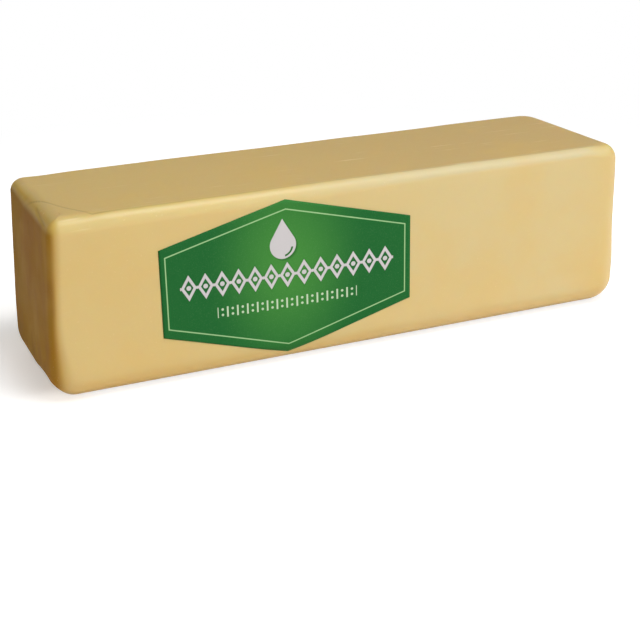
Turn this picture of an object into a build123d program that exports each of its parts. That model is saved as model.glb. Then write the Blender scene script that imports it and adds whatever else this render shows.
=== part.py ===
from build123d import *

import os
from math import radians, tan

# A pressed loaf of cheddar, square in section, with a six-sided label on its front face.
# Millimetres. X runs along the block, -Y is the front, Z is up from the base.
# The origin is on the base, under the middle of the block.

# Cheese block
block_length = 355.6  # between the ends, at half the height
block_depth = 101.6  # front to back
block_height = 101.6  # base to top
end_lean = 3.4  # degrees that each end leans inwards towards the top
top_corner_radius = 10.0  # upright corners, seen from above, at the top
base_corner_radius = 17.5  # the same corners at the base, where the loaf has settled
top_edge_radius = 9.5  # rounding all round the top face
base_edge_radius = 14.0  # rounding all round the base
edge_margin = 0.2  # how far an edge's rounding stays under the corner that it turns

# Label
label_width = 149.4  # between the two upright sides
label_height = 89.8  # between the lower and the upper point, as seen from the front
label_side_height = 48.8  # each upright side
label_corner_radius = 0.6  # the die-cut corners are barely rounded
label_shift = -43.5  # middle of the label along the block
label_rise = 0.9  # middle of the label above half the block's height
label_thickness = 0.2
adhesive_thickness = 0.02  # between the cheese and the back of the label

# An edge can't be rounded wider than the corner that it turns, at the height it reaches.
corner_taper = (base_corner_radius - top_corner_radius) / block_height
top_edge = min(top_edge_radius, top_corner_radius / (1 - corner_taper) - edge_margin)
base_edge = min(base_edge_radius, base_corner_radius / (1 + corner_taper) - edge_margin)

with BuildPart() as cheese_block:
    end_shift = block_height * tan(radians(end_lean))
    with BuildSketch():
        RectangleRounded(block_length + end_shift, block_depth, base_corner_radius)
    with BuildSketch(Plane.XY.offset(block_height)):
        RectangleRounded(block_length - end_shift, block_depth, top_corner_radius)
    loft()
    fillet(cheese_block.faces().sort_by(Axis.Z)[-1].outer_wire().edges(), radius=top_edge)
    fillet(cheese_block.faces().sort_by(Axis.Z)[0].outer_wire().edges(), radius=base_edge)

# The block cut across its length, drawn with the front to the left.
with BuildSketch() as section:
    with Locations((0, block_height / 2)):
        Rectangle(block_depth, block_height)
    fillet(section.vertices().group_by(Axis.Y)[-1], radius=top_edge)
    fillet(section.vertices().group_by(Axis.Y)[0], radius=base_edge)

label_outline = [
    (-label_width / 2, -label_side_height / 2),
    (0, -label_height / 2),
    (label_width / 2, -label_side_height / 2),
    (label_width / 2, label_side_height / 2),
    (0, label_height / 2),
    (-label_width / 2, label_side_height / 2),
]

# The label is cut from a sleeve round the block, so that it bends with the rounded edges
# where its two points reach them.
with BuildPart() as label:
    with BuildSketch(Plane.YZ.offset(label_shift)):
        offset(section.sketch, amount=adhesive_thickness + label_thickness)
        offset(section.sketch, amount=adhesive_thickness, mode=Mode.SUBTRACT)
    extrude(amount=label_width, both=True)
    with BuildSketch(Plane.XZ) as outline:
        with Locations((label_shift, block_height / 2 + label_rise)):
            Polygon(*label_outline, align=None)
        fillet(outline.vertices(), radius=label_corner_radius)
    extrude(amount=block_depth, mode=Mode.INTERSECT)

os.makedirs("parts", exist_ok=True)

cheese_block.part.label = "cheese_block"
export_step(cheese_block.part, "parts/cheese_block.step")

label.part.label = "label"
export_step(label.part, "parts/label.step")
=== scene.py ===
"""A pressed block of cheddar with a six-sided label on its front face, and the studio it stands in.

The file is laid out as an add-on and is run as a script. Lengths are in metres. X runs along the
block, -Y is its front and Z is up from its base.
"""

from math import asin, atan, cos, radians, sin, tan

import bpy
import numpy as np
from mathutils import Matrix, Vector


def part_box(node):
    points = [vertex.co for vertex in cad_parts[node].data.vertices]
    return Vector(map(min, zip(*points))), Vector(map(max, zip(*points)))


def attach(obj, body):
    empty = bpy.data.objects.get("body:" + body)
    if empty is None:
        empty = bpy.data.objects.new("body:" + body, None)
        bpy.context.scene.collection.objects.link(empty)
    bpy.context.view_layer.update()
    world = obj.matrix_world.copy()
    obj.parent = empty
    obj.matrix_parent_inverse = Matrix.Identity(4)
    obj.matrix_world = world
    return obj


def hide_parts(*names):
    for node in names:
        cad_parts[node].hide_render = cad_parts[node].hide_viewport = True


bl_info = {
    "name": "Cheddar block",
    "version": (1, 0, 0),
    "blender": (4, 5, 0),
    "location": "View3D > Sidebar > Cheddar",
    "description": "Builds a pressed cheddar block, its label and the stage",
    "category": "Object",
}

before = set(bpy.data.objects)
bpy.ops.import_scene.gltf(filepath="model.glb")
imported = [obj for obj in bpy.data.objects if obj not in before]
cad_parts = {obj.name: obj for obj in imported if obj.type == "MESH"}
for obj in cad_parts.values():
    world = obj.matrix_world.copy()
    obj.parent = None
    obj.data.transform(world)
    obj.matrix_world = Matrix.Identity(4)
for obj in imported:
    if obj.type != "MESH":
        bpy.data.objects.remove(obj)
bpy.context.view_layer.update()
block_low, block_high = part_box("cheese_block")
label_low, label_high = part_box("label")

MM = 0.001
# The rounding along the top of the block in the CAD.
CAD_TOP_RADIUS = 9.5 * MM
# The fold in the top: how far the front edge's arc has turned there, how far the other edges' quarter
# circles have turned at the same ring, and how far below the top it is.
FOLD_TILT = radians(66)
FOLD_STATION = radians(60)
FOLD_DROP = 0.15 * MM


# ---- Settings ----


def length_setting(name, description, default):
    """A length that a user may change."""
    return bpy.props.FloatProperty(
        name=name, description=description, default=default, min=0.0, unit="LENGTH", precision=5
    )


def lengths_setting(name, description, default):
    """Lengths that a user may change together."""
    return bpy.props.FloatVectorProperty(
        name=name, description=description, default=default, size=len(default), min=0.0, unit="LENGTH"
    )


def angle_setting(name, description, default):
    """An angle that a user may change. Its default is given in degrees."""
    return bpy.props.FloatProperty(
        name=name, description=description, default=radians(default), subtype="ANGLE"
    )


def share_setting(name, description, default):
    """A share between 0 and 1."""
    return bpy.props.FloatProperty(
        name=name, description=description, default=default, min=0.0, max=1.0, subtype="FACTOR"
    )


def number_setting(name, description, default):
    """A plain number, such as a light level."""
    return bpy.props.FloatProperty(name=name, description=description, default=default, min=0.0)


def colour_setting(name, description, default):
    """A colour, in linear light."""
    return bpy.props.FloatVectorProperty(
        name=name, description=description, default=default, size=3, min=0.0, max=1.0, subtype="COLOR"
    )


class BlockSettings(bpy.types.PropertyGroup):
    """Sizes and colours of the cheese."""

    end_lean: angle_setting("End lean", "How far each end leans inwards towards the top", 3.4)
    base_corner_radii: lengths_setting(
        "Base corner radii",
        "Upright corners, at the base: front left, front right, back right, back left",
        (14.6 * MM, 17.0 * MM, 17.5 * MM, 17.5 * MM),
    )
    base_corner_heights: lengths_setting(
        "Base corner heights", "How far up each of them reaches", (46 * MM, 31 * MM, 31 * MM, 31 * MM)
    )
    edge_radii: lengths_setting(
        "Upright edge radii",
        "Half way up: front left, front right, back right, back left",
        (6.8 * MM, 13.0 * MM, 13.0 * MM, 12.0 * MM),
    )
    top_corner_radii: lengths_setting(
        "Top corner radii",
        "Upright corners, at the top: front left, front right, back right, back left",
        (7.0 * MM, 9.5 * MM, 15.0 * MM, 11.0 * MM),
    )
    front_edge_radii: lengths_setting(
        "Front edge radii", "Rounding in front of the fold, at its left and right", (10.3 * MM, 5.8 * MM)
    )
    top_edge_radii: lengths_setting(
        "Top edge radii", "The top's right, back and left edges", (10.8 * MM, 9.5 * MM, 7.5 * MM)
    )
    soft_edge: length_setting(
        "Soft edge", "How much rounder the top's left edge is, except at its back", 2.5 * MM
    )
    base_edge_radius: length_setting("Base edge radius", "Rounding all round the base", 14.0 * MM)
    swell_depth: length_setting("Swell depth", "Long gentle hollows of the faces", 0.30 * MM)
    crease_depth: length_setting("Crease depth", "Depth of the fold pressed into the top", 0.13 * MM)
    crease_width: length_setting("Crease width", "Half width of the fold", 0.5 * MM)
    lip_depth: length_setting("Lip depth", "The groove at the top of the left end", 0.30 * MM)
    dimple_depth: length_setting("Dimple depth", "The dimples at the top of the left end", 0.6 * MM)
    grain_depth: length_setting("Grain depth", "The upright grain of the ends", 0.09 * MM)
    step_depth: length_setting("Step depth", "The step in the left end's base edge", 1.7 * MM)
    bulge_height: length_setting("Bulge height", "The bulge of the left end's base edge", 0.75 * MM)
    hollow_depth: length_setting("Hollow depth", "The hollow in the top's back edge", 0.6 * MM)
    body_colour: colour_setting("Body colour", "The cut curd", (0.607, 0.456, 0.184))
    # Painted sheen: the front turns paler and whiter towards the right end, standing in for light on it.
    painted_sheen_colour: colour_setting("Dry colour", "Paler curd towards the right end", (0.586, 0.470, 0.226))
    # Painted shade: the upper face is darker than the front, as the light falls on it, and darker still
    # towards the right.
    top_colour: colour_setting("Top colour", "The left of the upper face", (0.574, 0.415, 0.166))
    shaded_right_top_colour: colour_setting("Dry top colour", "The right of the upper face", (0.527, 0.375, 0.162))
    # Painted shade: the ends are much darker and redder than the body, and their back half is darker
    # still.
    end_colour: colour_setting("End colour", "The darker, riper ends", (0.360, 0.172, 0.015))
    far_end_colour: colour_setting("Far end colour", "The back half of the ends", (0.345, 0.182, 0.009))
    # Painted shade: the rounding in front of the fold is darker than the front. Towards the right it turns
    # whiter, a painted highlight.
    edge_colour: colour_setting("Edge colour", "The edge in front of the fold", (0.550, 0.428, 0.152))
    painted_highlight_edge_colour: colour_setting("Dry edge colour", "The right of that edge", (0.512, 0.441, 0.245))
    ripe_end_colour: colour_setting("Ripe end colour", "Darker bands down the ends", (0.330, 0.146, 0.034))
    ripe_colour: colour_setting("Ripe colour", "Deeper patches in the curd", (0.62, 0.415, 0.125))
    pale_colour: colour_setting("Pale colour", "Pale streaks and worn ridges", (0.80, 0.66, 0.40))
    # Painted shade at the bottom of the fold, the lip's groove and the dimples.
    crease_colour: colour_setting("Crease colour", "The bottom of creases and dents", (0.16, 0.09, 0.02))
    glow_colour: colour_setting(
        "Glow colour", "Light soaking through the left edges and the base's", (0.62, 0.40, 0.078)
    )
    # Painted glow: light soaking through the front strip and the foot of the ends.
    amber_colour: colour_setting("Amber colour", "The front strip of the ends", (0.405, 0.203, 0.004))


class LabelSettings(bpy.types.PropertyGroup):
    """Sizes and colours of the label."""

    side_height: length_setting("Side height", "Each of the two upright sides", 49.6 * MM)
    left_lift: length_setting("Left lift", "How much higher the left side sits", 1.1 * MM)
    point_shift: length_setting("Point shift", "How far left of the middle the two points are", 1.8 * MM)
    point_drop: length_setting("Point drop", "How far the two points are lowered", 0.5 * MM)
    thickness: length_setting("Thickness", "Of the paper", 0.2 * MM)
    gap: length_setting("Adhesive", "Between the cheese and the paper", 0.02 * MM)
    centre_colour: colour_setting("Centre colour", "The middle of the label", (0.051, 0.228, 0.042))
    edge_colour: colour_setting("Edge colour", "The outer parts of the label", (0.012, 0.117, 0.027))
    print_colour: colour_setting("Print colour", "Pale print", (0.54, 0.53, 0.56))
    line_colour: colour_setting("Line colour", "The border line", (0.36, 0.60, 0.30))
    band_colour: colour_setting("Band colour", "The lower row of print", (0.56, 0.70, 0.52))
    shade_colour: colour_setting("Shade colour", "The shade under the print", (0.010, 0.070, 0.016))


class StageSettings(bpy.types.PropertyGroup):
    """Light and camera."""

    heading: angle_setting("Heading", "How far round to the left of the front the camera is", 23.606)
    pitch: angle_setting("Pitch", "How far the camera looks down", 21.462)
    roll: angle_setting("Roll", "The camera's lean", -1.031)
    distance: length_setting("Distance", "From the aim to the camera", 785.69 * MM)
    aim_left: length_setting("Aim left", "How far the aim is left of the middle", 2.65516 * MM)
    aim_down: length_setting("Aim down", "How far the aim is below the middle", 47.16785 * MM)
    lens: number_setting("Lens", "Focal length in millimetres, for a frame 36 mm wide", 73.7078)
    key_level: number_setting("Key", "The wide lamp at the front right", 0.85)
    top_level: number_setting("Top", "The lamp above the front edge", 0.60)
    side_level: number_setting("Side", "The lamp above the right end", 0.14)
    ambient_level: number_setting("Ambient", "The light from all round", 0.02)
    floor_gain: number_setting("Floor", "How pale the floor looks near the block", 1.4)
    shadow_lift: share_setting("Shadow lift", "How much paler the block's shadow looks", 0.39)
    # Painted bounce light: the warm tint of the floor beside the block's left end.
    painted_bounce_colour: colour_setting("Near colour", "The floor's cast beside the block", (1.0, 0.945, 0.88))
    back_level: number_setting("Back", "The soft fill behind the block", 0.35)
    left_level: number_setting("Left", "The soft lamp above and behind the left end", 0.20)
    floor_colour: colour_setting("Floor colour", "The floor, as it lights the block", (0.74, 0.65, 0.54))


# ---- Surfaces ----


def steps(*spans):
    """Stations along a line: each span is (start, end, number of steps), and spans share their ends."""
    parts = [np.linspace(start, end, count + 1)[:-1] for start, end, count in spans]
    return np.concatenate([*parts, [spans[-1][1]]])


def smooth(value, start, end):
    """0 before start, 1 past end, and a smooth step between them."""
    share = np.clip((value - start) / (end - start), 0, 1)
    return share * share * (3 - 2 * share)


def ridge(distance, width):
    """1 on a line, falling to nothing over about its width, as a bell curve."""
    return np.exp(-((distance / width) ** 2))


def outline_stations(front, side, corner_steps):
    """Stations round a rounded rectangle, anticlockwise from the middle of its left front corner.

    front and side hold shares from -1 to 1 along the straight front and along the straight right end.
    Returns, for each station, its share of the two straight half sides and its corner direction:
    point = straight half side * share + corner radius * direction.
    """
    half = corner_steps // 2
    shares, angles = [], []
    for middle, along in ((270, front), (0, side), (90, -front[::-1]), (180, -side[::-1])):
        run = np.concatenate([-np.ones(half + 1), along[1:-1], np.ones(half)])
        turn = np.concatenate(
            [np.linspace(-45, 0, half + 1), np.zeros(len(along) - 2), np.linspace(0, 45, half + 1)[:-1]]
        )
        out = radians(middle)
        away = np.array([round(cos(out)), round(sin(out))])
        forward = np.array([-away[1], away[0]])
        shares.append(away[:, None] + forward[:, None] * run)
        angles.append(np.radians(middle + turn))
    angle = np.concatenate(angles)
    return np.concatenate(shares, axis=1), np.array([np.cos(angle), np.sin(angle)])


def by_corner(shares, values):
    """A value at each station, shared out between the four corners as on a flat map of the block."""
    right, back = (1 + shares) / 2
    front_left, front_right, back_right, back_left = values
    front_value = (1 - right) * front_left + right * front_right
    return (1 - back) * front_value + back * ((1 - right) * back_left + right * back_right)


def by_side(directions, front, right, back, left):
    """A value at each station, shared out between the four sides by its direction, squared."""
    across, along = directions
    return np.where(along < 0, front, back) * along**2 + np.where(across > 0, right, left) * across**2


def half_length_at(z, block):
    """Half the block's length at each height: a leaning line, upright beside the two roundings."""
    lean, base, top = block.end_lean, block.base_edge_radius, CAD_TOP_RADIUS
    foot = block_high.x - base + (base + base * sin(lean)) / cos(lean)
    low, high = base * (1 + sin(lean)), block_high.z - top * (1 - sin(lean))
    return foot - np.clip(z, low, high) * tan(lean)


def front_edge(x, block):
    """The rounding at the top of the front, at each x: its radius, and the height at which it starts.

    It is an arc that turns from upright to FOLD_TILT, where it meets the flat top in the fold, a little
    below the top. Its radius runs evenly from the left to the right, with one slow wave.
    """
    wave_depth, wave_length, wave_crest = 0.6 * MM, 180 * MM, -40 * MM
    share = (x / block_high.x + 1) / 2
    left, right = block.front_edge_radii
    wave = wave_depth * np.cos(2 * np.pi * (x - wave_crest) / wave_length)
    radius = left + (right - left) * share + wave
    return radius, block_high.z - FOLD_DROP - radius * sin(FOLD_TILT)


def top_section(tilt, x, y, directions, block):
    """Inset and height of the rounding at the top, for each tilt (rows) and each station (columns).

    Every side has a quarter circle: inset = radius (1 - cos tilt), height = top - radius (1 - sin tilt).
    The left edge is rounder by the soft edge's length, except at its back. Along the front the quarter
    circle gives way to the front edge's arc, and that to a nearly flat run from the fold to the top. The
    arc's share is the fourth power of the direction, and it fades out at the left and partly at the right.
    """
    back_of_left, fold_starts, fold_fades = (8 * MM, 36 * MM), (-170 * MM, -152 * MM), (165 * MM, 176 * MM)
    right, back, left = block.top_edge_radii
    left = left + block.soft_edge * (1 - smooth(y, *back_of_left))
    radius = by_side(directions, CAD_TOP_RADIUS, right, back, left)
    tilt = tilt[:, None]
    inset = radius * (1 - np.cos(tilt))
    z = block_high.z - radius * (1 - np.sin(tilt))
    front_radius, start = front_edge(x, block)
    turn = np.minimum(tilt / FOLD_STATION, 1) * FOLD_TILT
    past = np.clip((tilt - FOLD_STATION) / (np.pi / 2 - FOLD_STATION), 0, 1)
    front_inset = front_radius * (1 - np.cos(turn))
    front_inset = front_inset + (CAD_TOP_RADIUS - front_inset) * past
    front_z = start + front_radius * np.sin(turn) + FOLD_DROP * past
    share = np.where(directions[1] < 0, directions[1] ** 4, 0)
    share = share * smooth(x, *fold_starts) * (1 - 0.6 * smooth(x, *fold_fades))
    return inset + (front_inset - inset) * share, z + (front_z - z) * share


def corner_radii_at(shares, z, block):
    """The radius of the upright corners, at each height (rows) and each station (columns).

    The radius half way up gives way to the base's and the top's by smooth steps.
    """
    top_starts, top_ends = block_high.z - 58 * MM, block_high.z - 8 * MM
    middle = by_corner(shares, block.edge_radii)
    base = by_corner(shares, block.base_corner_radii)
    top = by_corner(shares, block.top_corner_radii)
    low = 1 - smooth(z, 0, by_corner(shares, block.base_corner_heights))
    return middle + (base - middle) * low + (top - middle) * smooth(z, top_starts, top_ends)


def patch_inside(south, east, north, west):
    """Points inside a four-sided patch: each is the blend of the two pairs of sides, less the corners.

    All sides run towards +X or +Y. Shares come from the south side's x and the west side's y.
    """
    u = ((south[:, 0] - south[0, 0]) / (south[-1, 0] - south[0, 0]))[None, :, None]
    v = ((west[:, 1] - west[0, 1]) / (west[-1, 1] - west[0, 1]))[:, None, None]
    across = (1 - v) * south[None] + v * north[None]
    along = (1 - u) * west[:, None] + u * east[:, None]
    corners = (1 - u) * (1 - v) * south[0] + u * (1 - v) * south[-1]
    corners = corners + (1 - u) * v * north[0] + u * v * north[-1]
    return (across + along - corners)[1:-1, 1:-1]


def quads(index):
    """The four corners of each cell of a grid of vertex numbers, anticlockwise."""
    corners = [index[:-1, :-1], index[:-1, 1:], index[1:, 1:], index[1:, :-1]]
    return np.stack(corners, axis=-1).reshape(-1, 4)


def cap(ring, points, first, wide, deep):
    """The four-sided patch inside a ring: its grid of vertex numbers, and the points inside it.

    The ring runs anticlockwise from its left front corner, with wide steps along the front and deep ones
    along the right end. The new points are numbered from first.
    """
    loop = np.append(ring, ring[0])
    south, east = loop[: wide + 1], loop[wide : wide + deep + 1]
    north, west = loop[wide + deep : 2 * wide + deep + 1][::-1], loop[2 * wide + deep :][::-1]
    inside = patch_inside(*(points[numbers] for numbers in (south, east, north, west)))
    index = np.empty((deep + 1, wide + 1), int)
    index[0], index[-1], index[:, 0], index[:, -1] = south, north, west, east
    index[1:-1, 1:-1] = first + np.arange(inside.shape[0] * inside.shape[1]).reshape(inside.shape[:2])
    return index, inside.reshape(-1, 3)


def block_surface(block):
    """Points, outward directions and faces of the plain block.

    The wall is the block's outline carried up its profile: each ring is a rounded rectangle. The top
    and the base are four-sided patches inside the last and the first ring. Stations are closest near
    the left front corner, where the fold, the lip and the dimples are.
    """
    corner_steps, fine_length, fine_depth, least_corner = 16, 36 * MM, 38 * MM, 0.4 * MM
    length, depth = block_high.x - block_low.x, block_high.y - block_low.y
    fine, near = 2 * fine_length / length, 2 * fine_depth / depth
    front = steps((-1, fine - 1, 60), (fine - 1, 0.94, 80), (0.94, 1, 5))
    side = steps((-1, near - 1, 72), (near - 1, 1, 24))
    shares, directions = outline_stations(front, side, corner_steps)

    base = block.base_edge_radius
    low = np.radians(steps((-90, 0, 14)))
    low_z = np.broadcast_to((base + base * np.sin(low))[:, None], (len(low), shares.shape[1]))
    low_inset = np.broadcast_to((base - base * np.cos(low))[:, None], low_z.shape)
    closer = 0.75 * FOLD_STATION
    high = steps((0, closer, 10), (closer, FOLD_STATION, 9), (FOLD_STATION, np.pi / 2, 14))
    x, y = shares[0] * block_high.x, shares[1] * block_high.y
    high_inset, high_z = top_section(high, x, y, directions, block)
    rise = steps((0, 1, 44))[1:-1, None]
    wall_z = base + (high_z[0] - base) * rise

    z = np.concatenate([low_z, wall_z, high_z])
    inset = np.concatenate([low_inset, 0 * wall_z, high_inset])
    tilt = np.concatenate([low, np.zeros(len(rise)), high])[:, None]
    corner = np.maximum(corner_radii_at(shares, z, block), inset + least_corner)
    half_sides = np.array([half_length_at(z, block), np.full(z.shape, depth / 2)])
    flat = (half_sides - corner) * shares[:, None] + (corner - inset) * directions[:, None]
    flat_out = np.cos(tilt) * directions[:, None]
    points = [np.stack([*flat, z], axis=-1).reshape(-1, 3)]
    outward = [np.stack([*flat_out, np.broadcast_to(np.sin(tilt), z.shape)], axis=-1).reshape(-1, 3)]

    total = z.size
    wall = np.arange(total).reshape(z.shape)
    faces = [quads(np.concatenate([wall, wall[:, :1]], axis=1))]
    wide, deep = len(front) - 1 + corner_steps, len(side) - 1 + corner_steps
    for ring, up in ((wall[0], -1), (wall[-1], 1)):
        index, inside = cap(ring, points[0], total, wide, deep)
        total += len(inside)
        points.append(inside)
        outward.append(np.tile([0.0, 0.0, up], (len(inside), 1)))
        faces.append(quads(index)[:, ::up])
    return np.concatenate(points), np.concatenate(outward), np.concatenate(faces)


def waves(points, wavelength, count, seed):
    """Smooth waves from -1 to 1: plane sine waves in seeded directions, added up.

    The sum is divided by the square root of twice their number, and cut off at -1 and 1.
    """
    draw = np.random.default_rng(seed)
    ways = draw.normal(size=(3, count))
    ways *= 2 * np.pi / wavelength / np.linalg.norm(ways, axis=0) * draw.uniform(0.6, 1.4, count)
    phases = draw.uniform(0, 2 * np.pi, count)
    return np.clip(np.sin(points @ ways + phases).sum(axis=1) / np.sqrt(2 * count), -1, 1)


def fold_line(x, block):
    """Where the fold runs: y at each x.

    It follows the front edge's arc, then bends back over the left of the top, as a power of the distance
    past the bend, with a small sine wave.
    """
    bend, bend_length, bend_depth, bend_power, waver = -150 * MM, 21.5 * MM, 41 * MM, 1.3, 0.5 * MM
    radius, _ = front_edge(x, block)
    along = block_low.y + radius * (1 - cos(FOLD_TILT))
    back = np.clip((bend - x) / bend_length, 0, 1.2)
    wavering = waver * np.sin(x / (2.1 * MM)) * smooth(-x, 146 * MM, 156 * MM)
    return along + bend_depth * back**bend_power + wavering


def fold_relief(points, outward, block):
    """The fold: a bell curve across its line. It fades out at the left end, and slowly along the front."""
    starts, thins, ends = (-176 * MM, -171 * MM), (-148 * MM, -128 * MM), (-60 * MM, 10 * MM)
    near = 0.2 * MM
    x, y, _ = points.T
    slope = (fold_line(x + near, block) - fold_line(x - near, block)) / (2 * near)
    across = (y - fold_line(x, block)) / np.sqrt(1 + slope**2)
    length = smooth(x, *starts) * (1 - 0.5 * smooth(x, *thins)) * (1 - smooth(x, *ends))
    return ridge(across, block.crease_width) * length * smooth(outward[:, 2], 0.3, 0.6)


def lip_relief(points, left):
    """A groove at the top of the left end, and the rim under it: bell curves across a sloping line."""
    middle, height, slope, drop = -16 * MM, 98.4 * MM, 0.10, 1.6 * MM
    _, y, z = points.T
    line = z - (height + slope * (y - middle))
    length = smooth(-y, 11 * MM, 17 * MM) * (1 - smooth(-y, 37 * MM, 43 * MM)) * left
    return ridge(line, 0.55 * MM) * length, ridge(line + drop, 1.0 * MM) * length


def dimple_relief(points, left):
    """Dimples strewn over the top of the left end, each a round bell curve."""
    _, y, z = points.T
    draw = np.random.default_rng(21)
    dimples = np.zeros(len(points))
    for _ in range(7):
        across, up = draw.uniform(-12, 20) * MM, draw.uniform(80, 98) * MM
        reach = draw.uniform(0.8, 1.6) * MM
        dimples += left * ridge(np.hypot(y - across, z - up), reach) * draw.uniform(0.3, 0.8)
    return dimples


def grain_relief(points, ends):
    """Upright grain on the two ends, between their base and top edges: waves, drawn out upwards."""
    drawn_out, z = np.array([0.2, 1.0, 0.30]), points[:, 2]
    grain = 0.5 + 0.5 * waves(points * drawn_out, 9 * MM, 14, 31)
    return grain * ends * smooth(z, 12 * MM, 24 * MM) * (1 - smooth(z, 84 * MM, 96 * MM))


def foot_relief(points, left, block):
    """The left end's uneven base edge: a step pressed in at its front, and a bulge behind it.

    Both are smooth steps along the edge, times a bell curve up from the base.
    """
    _, y, z = points.T
    step = smooth(-y, 6 * MM, 33 * MM) * (1 - smooth(-y, 35 * MM, 46 * MM))
    bulge = (1 - smooth(-y, 0, 12 * MM)) * (1 - smooth(y, 44 * MM, 51 * MM))
    return left * ridge(z - 3 * MM, 6 * MM) * (block.step_depth * step - block.bulge_height * bulge)


def block_relief(points, outward, block):
    """How far each point of the block is pressed in, and how much of a crease it is.

    The depth is the sum of long hollows, the fold, a lip and dimples at the top of the left end, upright
    grain on both ends, the left end's uneven base edge, and a hollow in the top's back edge.
    """
    x, y, z = points.T
    left, right = smooth(-outward[:, 0], 0.15, 0.75), smooth(outward[:, 0], 0.5, 0.9)
    swell = 0.5 + 0.5 * waves(points, 120 * MM, 7, 3)
    swell += 0.25 * (0.5 + 0.5 * waves(points, 35 * MM, 9, 8))
    fold = fold_relief(points, outward, block)
    groove, rim = lip_relief(points, left)
    dimples = dimple_relief(points, left)
    hollow = ridge(x + 158 * MM, 14 * MM) * smooth(y, 20 * MM, 48 * MM) * smooth(z, 85 * MM, 96 * MM)
    depth = block.swell_depth * swell * smooth(z, 2 * MM, 25 * MM) + block.crease_depth * fold
    depth += block.lip_depth * (groove - 0.5 * rim) + block.dimple_depth * dimples
    depth += block.grain_depth * grain_relief(points, left + right) + foot_relief(points, left, block)
    depth += block.hollow_depth * hollow
    return depth, np.clip(fold + 0.6 * groove + dimples, 0, 1)


def block_marks(outward, crease):
    """Shares from 0 to 1 that the cheese's colours follow, from the way each point faces.

    ends is the two ends, the right one less so, where shade is painted on. edge is the rounding between
    the front and the top, which is painted darker. glow is the left front edge, the front base edge and
    the left top edge, where light soaking through is painted.
    """
    to_left, to_front, down = -outward.T
    front = smooth(to_front, 0.0, 0.3)
    ends = smooth(to_left, 0.40, 0.85) + 0.28 * smooth(-to_left, 0.40, 0.85)
    left_edge, base_edge = smooth(to_left, 0.15, 0.65) * front, 0.5 * smooth(down, 0.1, 0.6) * front
    top_edge = smooth(to_left, 0.35, 0.80) * smooth(-down, 0.1, 0.4)
    return {
        "crease": crease,
        "ends": ends * smooth(down, -0.60, -0.10),
        "edge": smooth(-down, 0.05, 0.35) * smooth(to_front, 0.05, 0.30),
        "upward": np.clip(-down, 0, 1),
        "glow": np.maximum(np.maximum(left_edge, base_edge), top_edge),
    }


def label_surface(block, label):
    """Points, faces and marks of the label, a sheet whose back lies on the front of the block.

    On a flat map each point is a share of the width, and a share of the height there, which falls evenly
    from the middle to the two sides. The marks keep that place. The middle is then shifted left and down,
    and the left side up, each by a share of the way across. The sheet follows the wall, the base's
    rounding and the front edge's arc, y = front + radius (1 - cos turn), and the cheese's relief.
    """
    wide, tall = label_high.x - label_low.x, label_high.z - label_low.z
    share, rise = steps((-1, 0, 48), (0, 1, 48))[None, :], steps((-1, 1, 64))[:, None]
    half_height = (tall - (tall - label.side_height) * abs(share)) / 2
    print_x, print_z = share * wide / 2 + 0 * rise, rise * half_height
    inner = 1 - abs(share)
    x = (label_high.x + label_low.x) / 2 + print_x - label.point_shift * inner
    z = (label_high.z + label_low.z) / 2 + print_z - label.point_drop * inner
    z = z + label.left_lift * np.maximum(-share, 0)

    base = block.base_edge_radius
    top_radius, top_start = front_edge(x, block)
    turn = np.arcsin(np.clip((z - top_start) / top_radius, 0, 1))
    turn -= np.arcsin(np.clip((base - z) / base, 0, 1))
    y = block_low.y + np.where(turn > 0, top_radius, base) * (1 - np.cos(turn))
    surface = np.stack([x, y, z], axis=-1).reshape(-1, 3)
    outward = np.stack([0 * turn, -np.cos(turn), np.sin(turn)], axis=-1).reshape(-1, 3)
    pressed, _ = block_relief(surface, outward, block)
    back = surface + outward * (label.gap - pressed)[:, None]
    face = back + outward * label.thickness

    index = np.arange(x.size).reshape(x.shape)
    rim = np.concatenate([index[0, :-1], index[:-1, -1], index[-1, :0:-1], index[:0:-1, 0]])
    loop = np.append(rim, rim[0])
    faces = [quads(index), quads(index)[:, ::-1] + x.size, quads(np.stack([loop + x.size, loop]))]
    marks = {"print_x": np.tile(print_x.ravel(), 2), "print_z": np.tile(print_z.ravel(), 2)}
    return np.concatenate([face, back]), np.concatenate(faces), marks


# ---- Meshes ----


def new_piece(name, points, faces, marks=None):
    """A smooth mesh object of points and four-sided faces, with a number per point for each mark."""
    mesh = bpy.data.meshes.new(name)
    mesh.vertices.add(len(points))
    mesh.vertices.foreach_set("co", np.ascontiguousarray(points, np.float32).ravel())
    mesh.loops.add(faces.size)
    mesh.loops.foreach_set("vertex_index", np.ascontiguousarray(faces, np.int32).ravel())
    mesh.polygons.add(len(faces))
    mesh.polygons.foreach_set("loop_start", np.arange(0, faces.size, 4, dtype=np.int32))
    mesh.update(calc_edges=True)
    mesh.polygons.foreach_set("use_smooth", np.ones(len(faces), bool))
    for mark, values in (marks or {}).items():
        layer = mesh.attributes.new(mark, "FLOAT", "POINT")
        layer.data.foreach_set("value", np.ascontiguousarray(values, np.float32))
    if mesh.validate():
        raise RuntimeError(f"{name} has faces that don't hold together")
    piece = bpy.data.objects.new(name, mesh)
    bpy.context.scene.collection.objects.link(piece)
    return piece


def remove_old(name):
    """Takes away an object that an earlier run of its operator made."""
    old = bpy.data.objects.get(name)
    if old is not None:
        bpy.data.objects.remove(old, do_unlink=True)


def fresh(collection, name):
    """An empty material or world, in place of one that an earlier run made."""
    old = collection.get(name)
    if old is not None:
        collection.remove(old)
    return collection.new(name)


# ---- Materials ----


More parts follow.
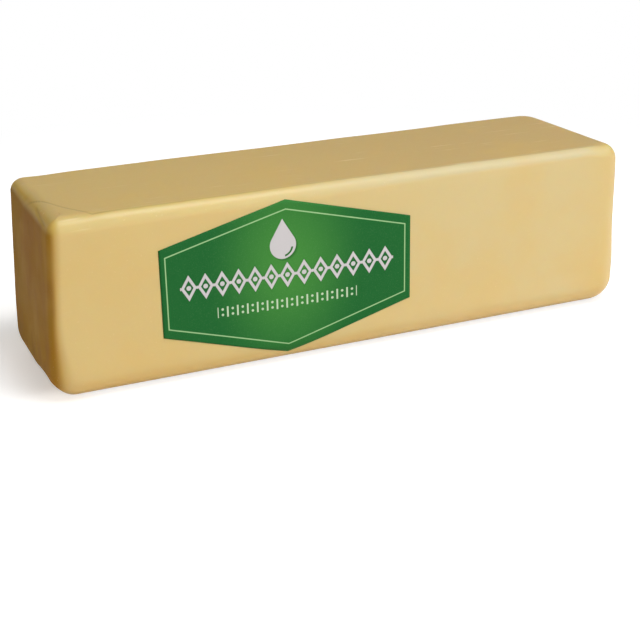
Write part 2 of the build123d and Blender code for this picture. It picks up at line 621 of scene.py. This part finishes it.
class Signal:
    """A socket that carries a number. Each operator adds one Math node."""

    def __init__(self, graph, socket):
        self.graph = graph
        self.socket = socket

    def __add__(self, other):
        return self.graph.math("ADD", self, other)

    __radd__ = __add__

    def __sub__(self, other):
        return self.graph.math("SUBTRACT", self, other)

    def __rsub__(self, other):
        return self.graph.math("SUBTRACT", other, self)

    def __mul__(self, other):
        return self.graph.math("MULTIPLY", self, other)

    __rmul__ = __mul__

    def __truediv__(self, other):
        return self.graph.math("DIVIDE", self, other)

    def __abs__(self):
        return self.graph.math("ABSOLUTE", self)

    def least(self, other):
        """The lower of two numbers."""
        return self.graph.math("MINIMUM", self, other)

    def most(self, other):
        """The higher of two numbers."""
        return self.graph.math("MAXIMUM", self, other)

    def step(self, start, end):
        """0 before start, 1 past end, and smooth between them."""
        settings = {"interpolation_type": "SMOOTHSTEP"}
        values = {"Value": self, "From Min": min(start, end), "From Max": max(start, end)}
        values.update({"To Min": float(start > end), "To Max": float(start < end)})
        return self.graph.node("ShaderNodeMapRange", settings, values)


class Graph:
    """The nodes of one material or world."""

    def __init__(self, owner):
        owner.use_nodes = True
        self.owner = owner
        self.tree = owner.node_tree
        self.tree.nodes.clear()

    def node(self, kind, settings=None, values=None, output=0):
        """Adds a node, sets it up, then gives its sockets their values or links."""
        node = self.tree.nodes.new(kind)
        for name, value in (settings or {}).items():
            setattr(node, name, value)
        for name, value in (values or {}).items():
            if isinstance(value, Signal):
                self.tree.links.new(value.socket, node.inputs[name])
            else:
                node.inputs[name].default_value = value
        return Signal(self, node.outputs[output]) if len(node.outputs) else None

    def math(self, operation, *values):
        """One Math node."""
        return self.node("ShaderNodeMath", {"operation": operation}, dict(enumerate(values)))

    def blend(self, share, first, second):
        """Mixes two colours."""
        first, second = (c if isinstance(c, Signal) else (*c, 1.0) for c in (first, second))
        return self.node("ShaderNodeMix", {"data_type": "RGBA"}, {0: share, 6: first, 7: second}, output=2)

    def layers(self, colour, *coats):
        """Lays coats over a colour, one after another. Each is a share and a colour."""
        for share, coat in coats:
            colour = self.blend(share, colour, coat)
        return colour

    def noise(self, place, size, detail=2.0, roughness=0.5):
        """Noise from 0 to 1 whose lumps are about size across."""
        values = {"Vector": place, "Scale": 1 / size, "Detail": detail, "Roughness": roughness}
        return self.node("ShaderNodeTexNoise", None, values)

    def place(self):
        """Where the shaded point is on the object."""
        return self.node("ShaderNodeTexCoord", None, None, output="Object")

    def axis(self, place, name):
        """One of X, Y and Z of a place."""
        return self.node("ShaderNodeSeparateXYZ", None, {0: place}, output=name)

    def mark(self, name):
        """A number kept at each point of the mesh."""
        return self.node("ShaderNodeAttribute", {"attribute_name": name}, None, output="Fac")

    def stretch(self, place, scale):
        """A place whose X, Y and Z are each multiplied."""
        return self.node("ShaderNodeVectorMath", {"operation": "MULTIPLY"}, {0: place, 1: scale})

    def reach(self, u, v):
        """The distance of a flat place from its origin."""
        return self.math("SQRT", u * u + v * v)

    def ink(self, outside, edge=0.12 * MM):
        """1 inside a shape and 0 outside it, from the distance outside it."""
        return outside.step(edge, -edge)

    def bump(self, height, strength, distance):
        """A Normal bent by a height, which is in units of distance."""
        values = {"Strength": strength, "Distance": distance, "Height": height}
        return self.node("ShaderNodeBump", None, values)

    def ray(self, kind):
        """1 for a kind of ray, such as Camera, and 0 for all others."""
        return self.node("ShaderNodeLightPath", None, None, output=f"Is {kind} Ray")

    def mix(self, share, first, second):
        """Mixes two shaders."""
        return self.node("ShaderNodeMixShader", None, {0: share, 1: first, 2: second})

    def finish(self, shader, kind="ShaderNodeOutputMaterial"):
        """Shows a shader, and returns the material or world that it is in."""
        self.node(kind, None, {"Surface": shader})
        return self.owner


def cheese_material(block):
    """Smooth pressed curd: a waxy, slightly see-through body with faint streaks, and painted shade in its
    creases.
    """
    patch_size, worn_size, band_size, lump_size = 60 * MM, 35 * MM, 14 * MM, 9 * MM
    streak_size, grain_size, speck_size = 2.6 * MM, 1.6 * MM, 0.9 * MM
    streak_stretch, band_stretch = (0.06, 1.0, 1.0), (1.0, 1.0, 0.55)
    right_sheen_span, right_sheen_fades, top_shade_span = (-110 * MM, 90 * MM), (142 * MM, 172 * MM), (-150 * MM, 150 * MM)
    far_half, front_strip, low_strip = (0, 42 * MM), (-26 * MM, -44 * MM), (52 * MM, 18 * MM)
    graph = Graph(fresh(bpy.data.materials, "cheddar"))
    place = graph.place()
    x, y, z = (graph.axis(place, name) for name in "XYZ")
    upward, ends, edge = graph.mark("upward"), graph.mark("ends"), graph.mark("edge")

    # Painted sheen: paler towards the right, fading back near the right end. The front edge follows it
    # too.
    right_sheen = x.step(*right_sheen_span) * (1 - 0.85 * x.step(*right_sheen_fades))
    # Painted shade on the rounding in front of the fold, with a whiter painted highlight towards the
    # right.
    edge_colour = graph.blend(right_sheen, block.edge_colour, block.painted_highlight_edge_colour)
    # Painted shade on the upper face, deepening towards the right.
    top_colour = graph.blend(x.step(*top_shade_span), block.top_colour, block.shaded_right_top_colour)
    # Painted shade on the ends, darker at their back half.
    end_colour = graph.layers(
        block.end_colour,
        (y.step(*far_half), block.far_end_colour),
        # Painted glow at the front strip and the foot of the ends.
        ((0.8 * y.step(*front_strip)).most(0.7 * z.step(*low_strip)), block.amber_colour),
    )

    patches = graph.noise(place, patch_size, 3.0, 0.55).step(0.42, 0.72)
    streaks = graph.noise(graph.stretch(place, streak_stretch), streak_size).step(0.60, 0.76)
    worn = graph.noise(place, worn_size).step(0.48, 0.66)
    bands = graph.noise(graph.stretch(place, band_stretch), band_size, 2.0, 0.55)
    specks = graph.noise(place, speck_size, 1.0, 0.4).step(0.70, 0.80)
    colour = graph.layers(
        block.body_colour,
        (right_sheen, block.painted_sheen_colour),
        (edge, edge_colour),
        (upward.step(0.8, 1.0), top_colour),
        (0.75 * graph.mark("glow"), block.glow_colour),
        (ends, end_colour),
        (0.35 * patches, block.ripe_colour),
        (0.80 * (streaks * worn) * upward, block.pale_colour),
        (0.45 * bands.step(0.42, 0.70) * ends, block.ripe_end_colour),
        (0.18 * specks, block.pale_colour),
        # Painted shade in the creases and dents.
        (0.42 * graph.mark("crease"), block.crease_colour),
    )

    grain, lumps = graph.noise(place, grain_size, 3.0, 0.6), graph.noise(place, lump_size)
    height = 0.45 * grain + 1.6 * lumps + 0.25 * (ends * bands)
    values = {
        "Base Color": colour,
        "Roughness": (0.36 + 0.08 * grain) + 0.45 * ends - 0.03 * edge,
        "IOR": 1.45,
        "Specular IOR Level": 0.48,
        "Subsurface Weight": 0.35,
        "Subsurface Radius": (1.0, 0.45, 0.15),
        "Subsurface Scale": 6 * MM,
        "Normal": graph.bump(height, 0.2, 0.3 * MM),
    }
    return graph.finish(graph.node("ShaderNodeBsdfPrincipled", None, values))


# Each print shape below is given as the distance outside it, so that a shape joined to another is the
# least of the two, and a shape cut by another is the most of them. x and z, or u and v, are a place.


def border_shape(x, z, label):
    """The line that runs inside the label's edge."""
    from_side, from_slope, half_line = 3.4 * MM, 5.2 * MM, 0.33 * MM
    half_wide, half_tall = (label_high.x - label_low.x) / 2, (label_high.z - label_low.z) / 2
    fall = (half_tall - label.side_height / 2) / half_wide
    to_side = half_wide - abs(x) - from_side
    to_slope = (half_tall - abs(z) - abs(x) * fall) * cos(atan(fall)) - from_slope
    return abs(to_side.least(to_slope)) - half_line


def drop_shape(graph, u, v):
    """A drop: a circle, and the cone that touches it, up to its point."""
    radius, low, point = 7.8 * MM, -3.6 * MM, 11.6 * MM
    half_angle = asin(radius / (point - low))
    circle = graph.reach(u, v - low) - radius
    cone = abs(u) * cos(half_angle) - (point - v) * sin(half_angle)
    return circle.least(cone.most(low + radius * sin(half_angle) - v))


def gleam_shape(graph, u, v):
    """The gleam in a drop: the lower right part of a thin ring."""
    low, radius, half_line, top, left = -4.2 * MM, 5.6 * MM, 0.55 * MM, -5.0 * MM, 1.2 * MM
    ring = abs(graph.reach(u, v - low) - radius) - half_line
    return ring.most(v - top).most(left - u)


def lozenge_row(graph, x, z):
    """A row of outlined lozenges, with a dot in each and a dot between each two."""
    middle, height, half_pitch, half_row = 0.2 * MM, 1.7 * MM, 4.9 * MM, 63.8 * MM
    half_wide, half_tall, to_side, half_line = 3.7 * MM, 5.9 * MM, 3.1 * MM, 0.80 * MM
    dot, small_dot = 1.35 * MM, 0.85 * MM
    u, v = graph.math("PINGPONG", x - middle, half_pitch), abs(z - height)
    outline = abs((u / half_wide + v / half_tall - 1) * to_side) - half_line
    dots = (graph.reach(u, v) - dot).least(graph.reach(half_pitch - u, v) - small_dot)
    return outline.least(dots).most(abs(x - middle) - half_row)


def dash_row(graph, x, z):
    """A row of upright dashes, with two dots between each two."""
    middle, height, half_pitch, half_row = -0.5 * MM, -14.8 * MM, 3.0 * MM, 42.0 * MM
    half_wide, half_tall, dot_height, dot = 0.50 * MM, 3.0 * MM, 1.6 * MM, 0.72 * MM
    u, v = graph.math("PINGPONG", x - middle, half_pitch), abs(z - height)
    dash = (u - half_wide).most(v - half_tall)
    dots = graph.reach(half_pitch - u, v - dot_height) - dot
    return dash.least(dots).most(abs(x - middle) - half_row)


def label_material(label):
    """Printed paper: a green that is lighter in the middle, a border line and rows of simple shapes."""
    fade_across, fade_up, fade_middle = 50 * MM, 72 * MM, 7 * MM
    drop_left, drop_height, shade_right, shade_down = 2.2 * MM, 22.6 * MM, 0.9 * MM, 1.0 * MM
    graph = Graph(fresh(bpy.data.materials, "label_print"))
    place = graph.place()
    x, z = graph.mark("print_x"), graph.mark("print_z")
    cloud, fibre = graph.noise(place, 30 * MM) - 0.5, graph.noise(place, 0.5 * MM, 2.0, 0.6)
    fade = (graph.reach(x / fade_across, (z - fade_middle) / fade_up) + 0.10 * cloud).step(0.05, 1.0)
    border = graph.ink(border_shape(x, z, label))

    u, v = x + drop_left, z - drop_height
    drop_shade = graph.ink(drop_shape(graph, u - shade_right, v + shade_down), 0.7 * MM)
    gleam = graph.ink(gleam_shape(graph, u, v))
    drop = graph.ink(drop_shape(graph, u, v)).least(1 - gleam)
    lozenges, dashes = lozenge_row(graph, x, z), graph.ink(dash_row(graph, x, z))
    row_shade = graph.ink(lozenges - 0.3 * MM, 0.8 * MM)
    colour = graph.layers(
        label.centre_colour,
        (fade, label.edge_colour),
        (0.10 * fibre.step(0.5, 0.9), label.line_colour),
        (0.85 * border, label.line_colour),
        (0.55 * drop_shade, label.shade_colour),
        (drop, label.print_colour),
        (0.35 * row_shade, label.shade_colour),
        (graph.ink(lozenges), label.print_colour),
        (0.85 * dashes, label.band_colour),
    )
    values = {
        "Base Color": colour,
        "Roughness": 0.50 + 0.12 * fibre,
        "Specular IOR Level": 0.06,
        "Normal": graph.bump(fibre, 0.1, 0.05 * MM),
    }
    return graph.finish(graph.node("ShaderNodeBsdfPrincipled", None, values))


def floor_material(stage):
    """The floor: a plain pale surface for the light, and a whiter one where it is seen.

    It is pure white away from the block. Beside the block it keeps a soft shadow, which is lifted most in
    front of it and least behind it, and close to its left end a warm bounce of light is painted on it.
    """
    in_front, front_strip, left_strip = (-38 * MM, -56 * MM), (-22 * MM, -40 * MM), (-200 * MM, -180 * MM)
    behind, lifted_within, warm_within = (50 * MM, 95 * MM), 60 * MM, 30 * MM
    under_left_end, plain_past = (-172 * MM, -150 * MM), (0.3, 0.6)
    graph = Graph(fresh(bpy.data.materials, "studio_floor"))
    place = graph.place()
    x, y = graph.axis(place, "X"), graph.axis(place, "Y")
    seen = graph.ray("Camera")
    beside = graph.reach((abs(x) - block_high.x).most(0.0), (abs(y) - block_high.y).most(0.0))
    clear = beside.step(0.0, lifted_within)
    clear = clear.most(y.step(*in_front)).most(y.step(*front_strip) * x.step(*left_strip))
    lift = (stage.shadow_lift + 0.34 * clear) * (1 - 0.8 * y.step(*behind)) * seen
    # Painted bounce light: the floor close to the left end is tinted warm.
    past_warm = beside.step(0.0, warm_within).most(x.step(*under_left_end))
    painted_bounce_colour = graph.blend(past_warm, stage.painted_bounce_colour, (1.0, 1.0, 1.0))
    plain = graph.node("ShaderNodeBsdfDiffuse", None, {"Color": (*stage.floor_colour, 1.0)})
    bright = graph.node("ShaderNodeBsdfDiffuse", None, {"Color": (*[stage.floor_gain] * 3, 1.0)})
    white = graph.node("ShaderNodeEmission", None, {"Color": painted_bounce_colour, "Strength": 1.0})
    away = graph.reach(x, y).step(*plain_past)
    seen = seen.most(graph.ray("Glossy")).most(graph.ray("Transmission"))
    return graph.finish(graph.mix(seen, plain, graph.mix(away.most(lift), bright, white)))


def studio_world(stage):
    """White where the camera sees it, and a faint even light for everything else."""
    graph = Graph(fresh(bpy.data.worlds, "studio"))
    all_round = {"Color": (1, 1, 1, 1), "Strength": stage.ambient_level}
    ambient = graph.node("ShaderNodeBackground", None, all_round)
    white = graph.node("ShaderNodeBackground", None, {"Color": (1, 1, 1, 1)})
    return graph.finish(graph.mix(graph.ray("Camera"), ambient, white), "ShaderNodeOutputWorld")


# ---- Operators ----


class CHEDDAR_OT_block(bpy.types.Operator):
    """Builds the block of cheese"""

    bl_idname = "cheddar.block"
    bl_label = "Cheese block"

    def execute(self, context):
        block = context.scene.cheddar_block
        remove_old("cheddar_body")
        points, outward, faces = block_surface(block)
        depth, crease = block_relief(points, outward, block)
        points = points - outward * depth[:, None]
        piece = new_piece("cheddar_body", points, faces, block_marks(outward, crease))
        piece.data.materials.append(cheese_material(block))
        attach(piece, "root")
        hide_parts("cheese_block")
        return {"FINISHED"}


class CHEDDAR_OT_label(bpy.types.Operator):
    """Builds the label on the front of the block"""

    bl_idname = "cheddar.label"
    bl_label = "Label"

    def execute(self, context):
        label = context.scene.cheddar_label
        remove_old("label_sheet")
        piece = new_piece("label_sheet", *label_surface(context.scene.cheddar_block, label))
        piece.data.materials.append(label_material(label))
        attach(piece, "root")
        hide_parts("label")
        return {"FINISHED"}


def toward(azimuth, elevation, distance):
    """A step from the middle of the block: azimuth 0 is the front, and 90 its right end, in degrees."""
    around, up = radians(azimuth), radians(elevation)
    return distance * Vector((sin(around) * cos(up), -cos(around) * cos(up), sin(up)))


def lamp(name, place, aim, wide, tall, level, turn=0.0):
    """A flat lamp, turned about its own aim, whose light on a facing surface there is about level.

    A small lamp of power P gives a facing surface P / (pi distance squared), and a white surface looks
    white at pi.
    """
    remove_old(name)
    reach = aim - place
    light = bpy.data.lights.new(name, "AREA")
    light.shape = "RECTANGLE"
    light.size, light.size_y = wide, tall
    light.energy = level * np.pi**2 * reach.length_squared
    lit = bpy.data.objects.new(name, light)
    lit.location = place
    facing = reach.to_track_quat("-Z", "Y").to_matrix()
    lit.rotation_euler = (facing @ Matrix.Rotation(turn, 3, "Z")).to_euler()
    bpy.context.scene.collection.objects.link(lit)
    return lit


def studio_lamps(stage, middle):
    """Five flat lamps. The two soft fills aren't mirrored in the cheese."""
    over_front, over_right = Vector((0.25, -0.42, 1.30)), Vector((0.95, -0.75, 1.30))
    lamp("key_lamp", middle + toward(20, 26, 3.0), middle, 3.6, 2.4, stage.key_level)
    lamp("top_lamp", over_front, middle, 0.5, 0.62, stage.top_level, radians(10))
    lamp("side_lamp", over_right, middle, 0.6, 0.5, stage.side_level, radians(30))
    fills = (
        lamp("back_lamp", middle + toward(165, 12, 3.0), middle, 3.0, 1.6, stage.back_level),
        lamp("left_lamp", middle + toward(-115, 45, 3.0), middle, 2.0, 2.0, stage.left_level),
    )
    for fill in fills:
        fill.visible_glossy = False


def studio_camera(stage, middle):
    """A camera turned to the left, tipped down and leaned about its aim, which is near the middle."""
    remove_old("camera")
    lens = bpy.data.cameras.new("camera")
    lens.sensor_width = 36.0
    lens.lens = stage.lens
    lens.clip_start, lens.clip_end = 0.05, 50.0
    sight = Vector(
        (
            sin(stage.heading) * cos(stage.pitch),
            cos(stage.heading) * cos(stage.pitch),
            -sin(stage.pitch),
        )
    )
    right = Vector((cos(stage.heading), -sin(stage.heading), 0))
    upward = right.cross(sight)
    leaned_right = right * cos(stage.roll) + upward * sin(stage.roll)
    leaned_up = upward * cos(stage.roll) - right * sin(stage.roll)
    aim = middle - leaned_right * stage.aim_left - leaned_up * stage.aim_down
    turned = Matrix((leaned_right, leaned_up, -sight)).transposed().to_4x4()
    camera = bpy.data.objects.new("camera", lens)
    camera.matrix_world = Matrix.Translation(aim - sight * stage.distance) @ turned
    bpy.context.scene.collection.objects.link(camera)
    return camera


class CHEDDAR_OT_stage(bpy.types.Operator):
    """Sets up the floor, the light and the camera"""

    bl_idname = "cheddar.stage"
    bl_label = "Stage"

    def execute(self, context):
        scene = context.scene
        stage = scene.cheddar_stage
        remove_old("studio_floor")
        half = 6.0
        corners = np.array([[-half, -half, 0], [half, -half, 0], [half, half, 0], [-half, half, 0]])
        floor = new_piece("studio_floor", corners, np.array([[0, 1, 2, 3]]))
        floor.data.materials.append(floor_material(stage))
        scene.world = studio_world(stage)
        middle = (block_high + block_low) / 2
        studio_lamps(stage, middle)
        scene.camera = studio_camera(stage, middle)
        scene.view_settings.view_transform = "Standard"
        return {"FINISHED"}


class CHEDDAR_PT_panel(bpy.types.Panel):
    """The block, the label and the stage"""

    bl_idname = "CHEDDAR_PT_panel"
    bl_label = "Cheddar block"
    bl_space_type = "VIEW_3D"
    bl_region_type = "UI"
    bl_category = "Cheddar"

    def draw(self, context):
        for group, settings in SETTINGS.items():
            box = self.layout.box()
            for name in settings.__annotations__:
                box.prop(getattr(context.scene, group), name)
        for operator in OPERATORS:
            self.layout.operator(operator.bl_idname)


SETTINGS = {"cheddar_block": BlockSettings, "cheddar_label": LabelSettings, "cheddar_stage": StageSettings}
OPERATORS = (CHEDDAR_OT_block, CHEDDAR_OT_label, CHEDDAR_OT_stage)
CLASSES = (*SETTINGS.values(), *OPERATORS, CHEDDAR_PT_panel)


def register():
    for kind in CLASSES:
        bpy.utils.register_class(kind)
    for name, kind in SETTINGS.items():
        setattr(bpy.types.Scene, name, bpy.props.PointerProperty(type=kind))


def unregister():
    for name in SETTINGS:
        delattr(bpy.types.Scene, name)
    for kind in reversed(CLASSES):
        bpy.utils.unregister_class(kind)


def main():
    register()
    bpy.ops.cheddar.block()
    bpy.ops.cheddar.label()
    bpy.ops.cheddar.stage()
    bpy.context.view_layer.update()


if __name__ == "__main__":
    main()
